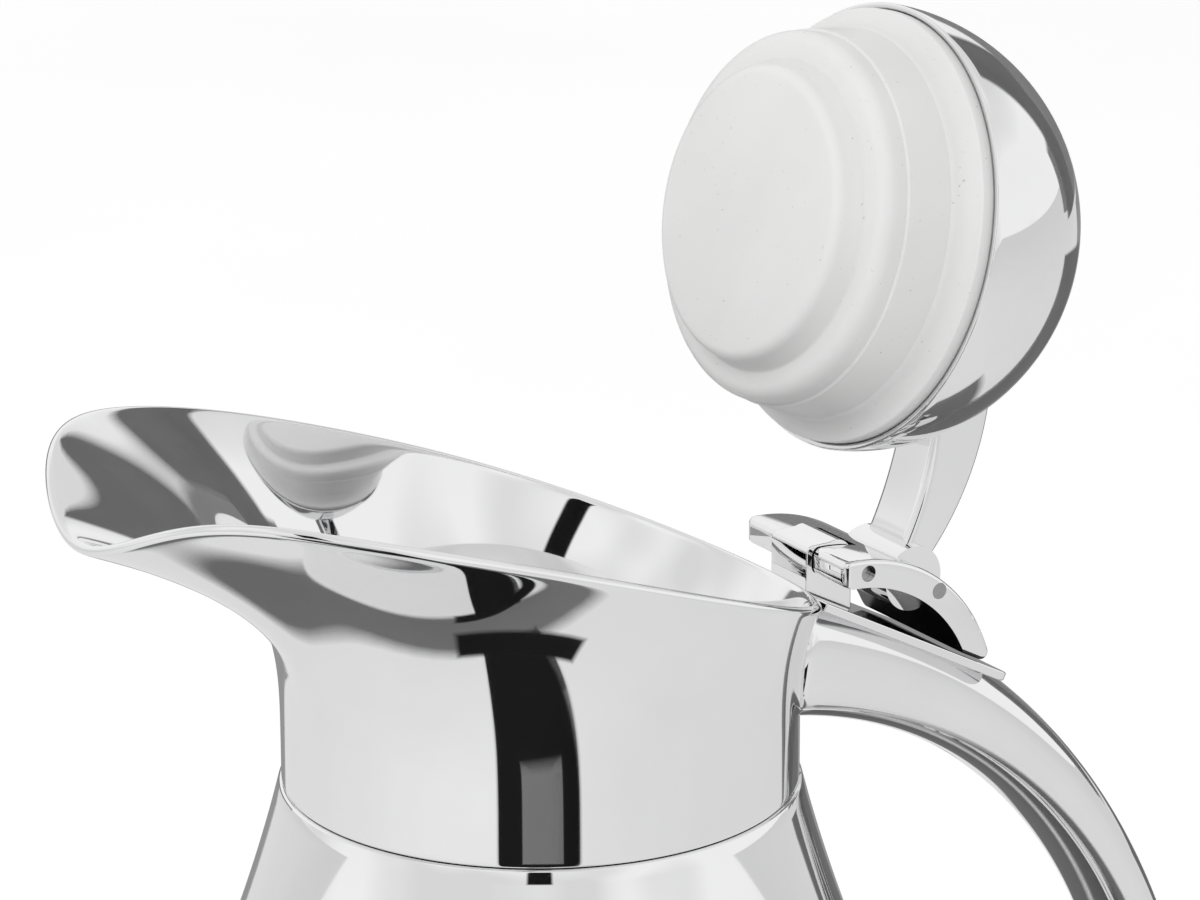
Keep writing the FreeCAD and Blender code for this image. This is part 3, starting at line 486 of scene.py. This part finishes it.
def clear_of_belly(p):
    return math.hypot(p.x, p.y) > body_radius(p.z) - TOUCH


def crossing(k, low, high, test):
    """Station between low and high where the test on line k changes."""
    at_low = test(handle_point(low, k))
    for _ in range(HALVINGS):
        middle = (low + high) / 2
        if test(handle_point(middle, k)) == at_low:
            low = middle
        else:
            high = middle
    return (low + high) / 2


ROOT_SEARCH, TAIL_SEARCH = (0, 2), (8, TAIL_AT)
starts = [crossing(k, *ROOT_SEARCH, clear_of_collar) for k in range(len(LOOP))]
stops = [crossing(k, *TAIL_SEARCH, clear_of_belly) for k in range(len(LOOP))]
station_length = (spine(1)[0] - spine(0)[0]).length
rings = []
for i in range(ROOT_ROUND_STEPS):
    turned = math.pi / 2 * i / ROOT_ROUND_STEPS
    along = ROOT_ROUND * (1 - math.cos(turned)) / station_length
    sunk = ROOT_ROUND * (1 - math.sin(turned))
    rings.append([handle_point(a + along, k, sunk) for k, a in enumerate(starts)])
for i in range(LENGTH_STEPS + 1):
    share = i / LENGTH_STEPS
    rings.append([handle_point(a + ROOT_ROUND / station_length * (1 - share) + (b - a) * share, k)
                  for k, (a, b) in enumerate(zip(starts, stops))])
bm, _ = bridged(rings, True)
plate_normal = Vector((math.sin(PLATE_SLOPE), 0, math.cos(PLATE_SLOPE)))
trim = bmesh.ops.bisect_plane(bm, geom=bm.verts[:] + bm.edges[:] + bm.faces[:],
                              plane_co=PLATE_TOP - plate_normal * PLATE_THICKNESS,
                              plane_no=plate_normal, clear_outer=True)
cut_edges = [e for e in trim["geom_cut"] if isinstance(e, bmesh.types.BMEdge)]
bmesh.ops.contextual_create(bm, geom=cut_edges)
to_object(bm, "handle", polished, "jug", "handle_outer", "handle_inner", sharp=CRISP_ANGLE)

# %% [markdown]
# ## Dome
#
# A half ball of sheet with a rounded rim, spun with the lid shut and then swung open about the hinge pin.
# A sphere cut in half would do as well, but the outline also gives the wall and the rounded rim.

# %%
LID_EDGE = 0.3 * MM
outline = [(0, LID_Z + DOME_R)]
arc_to(outline, (DOME_R, LID_Z), DOME_R, left=False, steps=40)
outer_rim = len(outline) - 1
outline.append((DOME_R - DOME_WALL, LID_Z))
arc_to(outline, (0, LID_Z + DOME_R - DOME_WALL), DOME_R - DOME_WALL, left=True, steps=20)
bm = spun(outline, False, [(outer_rim, LID_EDGE), (outer_rim + 1, LID_EDGE)])
swing_open(bm)
to_object(bm, "dome", polished, "lid", "lid_dome")

# %% [markdown]
# ## Stopper
#
# The white stopper is one turned piece: a slightly domed face, a plug, a ledge, a step, a conical side and
# a flange in the dome's rim. It could be a stack of cylinders, but one outline also gives the fillets
# between the steps. Two sharp corners are rounded by a bevel before it is spun.

# %%
LEDGE_ROUND = 0.35 * MM


def down_from_rim(points):
    """Points as (radius, depth below the dome's rim) in mm."""
    return [(r * MM, LID_Z - d * MM) for r, d in points]


outline = down_from_rim([(0.0, 21.6), (21.2, 21.2)])
arc_to(outline, down_from_rim([(23.0, 19.4)])[0], 1.8 * MM, left=True, steps=6)
outline += down_from_rim([(24.2, 16.8), (26.4, 16.8)])
inner_corner = len(outline) - 2
arc_to(outline, down_from_rim([(28.8, 14.4)])[0], 2.4 * MM, left=True, steps=8)
outline += down_from_rim([(28.95, 12.6), (29.35, 12.4), (30.4, 5.3), (30.7, 5.0)])
arc_to(outline, down_from_rim([(33.9, 2.1)])[0], 3.4 * MM, left=False, steps=8)
flange_edge = len(outline) - 1
outline += down_from_rim([(33.9, 0.0), (28.0, 0.0), (28.0, 5.2), (24.0, 14.4), (6.0, 14.4), (6.0, 0.0)])
outline += down_from_rim([(3.02, 0.0), (3.02, 10.0), (0.0, 10.0)])
bm = spun(outline, False, [(inner_corner, LEDGE_ROUND), (flange_edge, LID_EDGE)])
swing_open(bm)
to_object(bm, "stopper_piece", stopper_white, "lid", "stopper", sharp=CRISP_ANGLE)

# %% [markdown]
# ## Small steel pieces
#
# The hinge pieces are flat or simply curved, so the CAD shape is right already. A copy of each has its
# loose triangles joined and its flat faces made whole, and a narrow bevel softens the edges that a
# polishing wheel would round. They could be modelled again like the big pieces, but that would only
# repeat the CAD part. The lever's hollow, behind the hinge pin and facing the plate, is painted near black
# as painted shade.

# %%
FLAT_ANGLE, SMALL_CRISP_ANGLE = 0.5, 30
HOLLOW_FACING = -0.25


def softened(node, name, mat, body, width):
    bm = bmesh.new()
    bm.from_mesh(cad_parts[node].data)
    bmesh.ops.remove_doubles(bm, verts=bm.verts, dist=WELD)
    bmesh.ops.dissolve_limit(bm, angle_limit=math.radians(FLAT_ANGLE), verts=bm.verts,
                              edges=bm.edges)
    obj = to_object(bm, name, mat, body, node, sharp=SMALL_CRISP_ANGLE)
    if width:
        bevel = obj.modifiers.new("soft edge", "BEVEL")
        bevel.width = width
        bevel.segments = EDGE_SEGMENTS
        bevel.limit_method = "ANGLE"
        bevel.angle_limit = math.radians(CRISP_ANGLE)
        bevel.harden_normals = True
    return obj


lever = softened("thumb_lever", "lever", polished, "lid", 0.3 * MM)
# Painted shade: the faces of the hollow get the near-black steel in place of the shade that falls there.
lever.data.materials.append(shade_painted_steel)
hollow = [f for f in lever.data.polygons
          if f.normal.dot(plate_normal) < HOLLOW_FACING and f.center.x > PIVOT.x]
for face in hollow:
    face.material_index = 1
print("lever hollow", len(hollow), "faces")
softened("lid_arm", "arm", polished, "lid", 0)
softened("hinge_plate", "plate", polished, "jug", 0.3 * MM)
softened("hinge_lug", "lug", polished, "jug", 0.4 * MM)
softened("mouth_ring", "mouth_ring_piece", polished, "jug", 0.2 * MM)
softened("inner_flask", "flask", satin, "jug", 0)

# %% [markdown]
# ## Pieces that keep the CAD shape
#
# Everything inside the walls, the pins and the foot only need their finish. They could be copied and
# softened too, but their edges are hidden or too small to see.

# %%
KEPT = {
    "hinge_pin": pin_steel, "arm_pin": pin_steel,
    "shell_bottom": satin, "base_cover": satin, "lid_stud": satin,
    "lid_foam": foam, "neck_gasket": silicone, "foot_pad": rubber,
    "vacuum_seal": brass, "getter": sinter,
}
for node, mat in KEPT.items():
    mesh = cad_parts[node].data
    mesh.materials.clear()
    mesh.materials.append(mat)
print("kept", len(KEPT), "CAD pieces")

# %% [markdown]
# ## Studio
#
# A white world and a pale floor give the even light of a photographer's tent, and one large soft lamp from
# the left models the stopper. Polished steel is only as good as what it mirrors: a dark strip and bar on
# the table towards the camera, with something grey standing on the strip, grey patches under the carafe
# and beside it as painted shadow of the floor, a dark card behind the camera, a grey wall low at the back
# and a tall one at the side.
# These cards show in reflections alone, so the floor itself stays plain, and their borders fade out. A
# picture of a room could light it too, but cards place each reflection where the photograph has it. In
# reflections the tent has faint folds, as cloth has.

# %%
CAM_AZ, CAM_EL, CAM_ROLL = math.radians(32.656), math.radians(18.065), math.radians(-0.145)
CAM_DISTANCE = 0.9
TARGET_RIGHT, TARGET_UP = 9.308 * MM, 49.7 * MM
LENS = 174.87
right = Vector((math.cos(CAM_AZ), -math.sin(CAM_AZ), 0))
up = Vector((math.sin(CAM_AZ) * math.sin(CAM_EL), math.cos(CAM_AZ) * math.sin(CAM_EL),
             math.cos(CAM_EL)))
back = right.cross(up)
target = right * TARGET_RIGHT + up * TARGET_UP + Vector((0, 0, SEAM))
CAM_SIDE = math.atan2(back.y, back.x)
FAR_SIDE = CAM_SIDE + math.pi
CARD_STEPS = 32


def stage_object(bm, name, mat):
    mesh = bpy.data.meshes.new(name)
    bm.to_mesh(mesh)
    bm.free()
    mesh.materials.append(mat)
    obj = bpy.data.objects.new(name, mesh)
    bpy.context.scene.collection.objects.link(obj)
    return obj


def only_in_reflections(obj):
    obj.visible_camera = False
    obj.visible_diffuse = False
    obj.visible_shadow = False
    return obj


def feather(bm, soft):
    """Mark how solid a card is: whole inside, fading to nothing at its border."""
    bmesh.ops.remove_doubles(bm, verts=bm.verts, dist=WELD)
    solid = bm.verts.layers.float.new("solid")
    bmesh.ops.inset_region(bm, faces=bm.faces[:], thickness=soft, use_even_offset=True, use_boundary=True)
    for vert in bm.verts:
        vert[solid] = 0.0 if vert.is_boundary else 1.0


def card(name, mat, near, far, half_angle, middle, aside, z, soft):
    """A flat piece of a ring on the table, from one radius to another, about a direction.

    half_angle, and aside, which turns it from the direction, are in degrees.
    """
    bm = bmesh.new()
    low = bm.verts.new((near, 0, z))
    high = bm.verts.new((far, 0, z))
    bm.edges.new((low, high))
    half_angle, middle = math.radians(half_angle), middle + math.radians(aside)
    bmesh.ops.spin(bm, geom=bm.verts[:] + bm.edges[:], cent=(0, 0, 0), axis=(0, 0, 1),
                   angle=2 * half_angle, steps=CARD_STEPS)
    bmesh.ops.rotate(bm, verts=bm.verts, cent=(0, 0, 0),
                     matrix=Matrix.Rotation(middle - half_angle, 3, "Z"))
    feather(bm, soft)
    return only_in_reflections(stage_object(bm, name, mat))


def bar_card(name, mat, width, depth, distance, direction, tilt, z, soft):
    """A straight bar on the table, across a direction and turned by a tilt in degrees."""
    bm = bmesh.new()
    bmesh.ops.create_grid(bm, x_segments=1, y_segments=1, size=0.5)
    bmesh.ops.scale(bm, vec=(depth, width, 1), verts=bm.verts)
    turned = Matrix.Rotation(direction + math.radians(tilt), 3, "Z")
    bmesh.ops.rotate(bm, verts=bm.verts, cent=(0, 0, 0), matrix=turned)
    place = (math.cos(direction) * distance, math.sin(direction) * distance, z)
    bmesh.ops.translate(bm, verts=bm.verts, vec=place)
    feather(bm, soft)
    return only_in_reflections(stage_object(bm, name, mat))


def wall(name, mat, width, low, high, distance, direction, soft):
    """An upright card that faces the carafe from a direction."""
    bm = bmesh.new()
    bmesh.ops.create_grid(bm, x_segments=1, y_segments=1, size=0.5)
    bmesh.ops.scale(bm, vec=(width, high - low, 1), verts=bm.verts)
    upright = Matrix.Rotation(math.pi / 2, 3, "X")
    bmesh.ops.rotate(bm, verts=bm.verts, cent=(0, 0, 0), matrix=upright)
    facing = Matrix.Rotation(direction + math.pi / 2, 3, "Z")
    bmesh.ops.rotate(bm, verts=bm.verts, cent=(0, 0, 0), matrix=facing)
    place = (math.cos(direction) * distance, math.sin(direction) * distance, (low + high) / 2)
    bmesh.ops.translate(bm, verts=bm.verts, vec=place)
    feather(bm, soft)
    return only_in_reflections(stage_object(bm, name, mat))


FLOOR_SIZE = 6
GLOW_TO_CAMERA, GLOW_IN_MIRRORS = 0.36, 0.12
floor_mat, shader = finish("pale floor", (0.80, 0.80, 0.80), (0.82, 0.82, 0.82), (0.7, 0.8), scale=6.0)
shader.inputs["Specular IOR Level"].default_value = 0.0
shader.inputs["Emission Color"].default_value = (1, 1, 1, 1)
path = floor_mat.node_tree.nodes.new("ShaderNodeLightPath")
mirrored = floor_mat.node_tree.nodes.new("ShaderNodeMath")
mirrored.operation = "MAXIMUM"
mirrored_glow = floor_mat.node_tree.nodes.new("ShaderNodeMath")
mirrored_glow.operation = "MULTIPLY"
mirrored_glow.inputs[1].default_value = GLOW_IN_MIRRORS
glow = floor_mat.node_tree.nodes.new("ShaderNodeMath")
glow.operation = "MULTIPLY_ADD"
glow.inputs[1].default_value = GLOW_TO_CAMERA
floor_mat.node_tree.links.new(path.outputs["Is Glossy Ray"], mirrored.inputs[0])
floor_mat.node_tree.links.new(path.outputs["Is Transmission Ray"], mirrored.inputs[1])
floor_mat.node_tree.links.new(mirrored.outputs["Value"], mirrored_glow.inputs[0])
floor_mat.node_tree.links.new(path.outputs["Is Camera Ray"], glow.inputs[0])
floor_mat.node_tree.links.new(mirrored_glow.outputs["Value"], glow.inputs[2])
floor_mat.node_tree.links.new(glow.outputs["Value"], shader.inputs["Emission Strength"])
bm = bmesh.new()
bmesh.ops.create_grid(bm, x_segments=1, y_segments=1, size=FLOOR_SIZE)
stage_object(bm, "floor", floor_mat)

CARD_ROUGHNESS, CARD_SCALE = (0.8, 0.9), 3.0


def card_finish(name, low, high):
    """A dull grey that is as solid as the card's own mark says."""
    mat, shader = finish(name, (low, low, low), (high, high, high), CARD_ROUGHNESS, scale=CARD_SCALE)
    shader.inputs["Specular IOR Level"].default_value = 0.0
    border = mat.node_tree.nodes.new("ShaderNodeAttribute")
    border.attribute_name = "solid"
    mat.node_tree.links.new(border.outputs["Fac"], shader.inputs["Alpha"])
    return mat


black_mat = card_finish("dark card", 0.010, 0.016)
wall_mat = card_finish("wall card", 0.28, 0.33)
grey_mat = card_finish("grey card", 0.18, 0.22)
light_mat = card_finish("light grey card", 0.34, 0.40)
# Painted shadow: a grey disc under the carafe, seen only in reflections, stands in for the floor's shade
# there.
card("floor_shadow_patch", grey_mat, near=0.0, far=0.125, half_angle=180, middle=0.0, aside=0,
     z=0.0004, soft=0.020)
card("table_strip", black_mat, near=0.098, far=0.80, half_angle=18, middle=CAM_SIDE, aside=0,
     z=0.0006, soft=0.014)
bar_card("table_bar", black_mat, width=0.15, depth=0.042, distance=0.115,
         direction=CAM_SIDE + math.radians(5), tilt=-30, z=0.0008, soft=0.007)
card("tripod", grey_mat, near=0.35, far=0.53, half_angle=9, middle=CAM_SIDE, aside=1.5,
     z=0.0010, soft=0.040)
# Painted shade: a grey patch beside the carafe on the handle side stands in for the shaded floor in
# reflections.
card("handle_side_shadow_patch", grey_mat, near=0.115, far=0.25, half_angle=36, middle=0.0, aside=21,
     z=0.0004, soft=0.020)
wall("camera_card", black_mat, width=0.19, low=0.27, high=1.06, distance=0.95,
     direction=CAM_SIDE, soft=0.02)
card("side_table", grey_mat, near=0.20, far=0.85, half_angle=15, middle=0.0, aside=22,
     z=0.0005, soft=0.03)
card("back_table", light_mat, near=0.33, far=1.2, half_angle=31, middle=FAR_SIDE, aside=0,
     z=0.0004, soft=0.04)
wall("back_wall", wall_mat, width=2.7, low=-0.05, high=0.44, distance=1.1,
     direction=FAR_SIDE, soft=0.06)
wall("side_wall", grey_mat, width=0.60, low=-0.05, high=1.08, distance=1.3,
     direction=FAR_SIDE - math.radians(34), soft=0.06)

LAMP_SIZE, LAMP_ENERGY = 0.7, 4.0
LAMP_PLACE, LAMP_AIM = Vector((-0.85, -0.35, 0.85)), Vector((0.03, 0, 0.2))
lamp_data = bpy.data.lights.new("soft_lamp", "AREA")
lamp_data.size = LAMP_SIZE
lamp_data.energy = LAMP_ENERGY
lamp = bpy.data.objects.new("soft_lamp", lamp_data)
bpy.context.scene.collection.objects.link(lamp)
lamp.location = LAMP_PLACE
lamp.rotation_euler = (LAMP_AIM - LAMP_PLACE).to_track_quat("-Z", "Y").to_euler()
lamp.visible_glossy = False

PLAIN_LEVEL, DIFFUSE_LEVEL = 1.0, 0.72
FOLD_SCALE, FOLD_SHADE, FOLD_RANGE = 1.6, 0.80, (0.35, 0.60)
world = bpy.data.worlds.new("white tent")
bpy.context.scene.world = world
world.use_nodes = True
tent = world.node_tree.nodes["Background"]
path = world.node_tree.nodes.new("ShaderNodeLightPath")
level = world.node_tree.nodes.new("ShaderNodeMapRange")
level.inputs["To Min"].default_value = PLAIN_LEVEL
level.inputs["To Max"].default_value = DIFFUSE_LEVEL
world.node_tree.links.new(path.outputs["Is Diffuse Ray"], level.inputs["Value"])
world.node_tree.links.new(level.outputs["Result"], tent.inputs["Strength"])
coords = world.node_tree.nodes.new("ShaderNodeTexCoord")
folds = world.node_tree.nodes.new("ShaderNodeTexNoise")
folds.inputs["Scale"].default_value = FOLD_SCALE
folds.inputs["Detail"].default_value = 1.0
shades = world.node_tree.nodes.new("ShaderNodeValToRGB")
shades.color_ramp.elements[0].position = FOLD_RANGE[0]
shades.color_ramp.elements[0].color = (FOLD_SHADE, FOLD_SHADE, FOLD_SHADE, 1)
shades.color_ramp.elements[1].position = FOLD_RANGE[1]
shades.color_ramp.elements[1].color = (1, 1, 1, 1)
cloth = world.node_tree.nodes.new("ShaderNodeMix")
cloth.data_type = "RGBA"
cloth.inputs["A"].default_value = (1, 1, 1, 1)
world.node_tree.links.new(coords.outputs["Generated"], folds.inputs["Vector"])
world.node_tree.links.new(folds.outputs["Fac"], shades.inputs["Fac"])
world.node_tree.links.new(path.outputs["Is Glossy Ray"], cloth.inputs["Factor"])
world.node_tree.links.new(shades.outputs["Color"], cloth.inputs["B"])
world.node_tree.links.new(cloth.outputs["Result"], tent.inputs["Color"])
print("studio ready")

# %% [markdown]
# ## Camera
#
# The camera was fitted to the photograph: a long lens, 33 degrees round from square on to the side,
# towards the lip, looking 18 degrees down. It could be set by eye, but the fit puts the collar's rim and
# seam on the photograph's lines.

# %%
camera_data = bpy.data.cameras.new("camera")
camera_data.lens = LENS
camera_data.sensor_width = 36
camera_data.clip_start = 0.01
camera_data.clip_end = 50
camera = bpy.data.objects.new("camera", camera_data)
bpy.context.scene.collection.objects.link(camera)
tilted_right = right * math.cos(CAM_ROLL) + up * math.sin(CAM_ROLL)
tilted_up = up * math.cos(CAM_ROLL) - right * math.sin(CAM_ROLL)
pose = Matrix((tilted_right, tilted_up, back)).transposed().to_4x4()
camera.matrix_world = Matrix.Translation(target + back * CAM_DISTANCE) @ pose
bpy.context.scene.camera = camera
bpy.context.scene.view_settings.view_transform = "Standard"
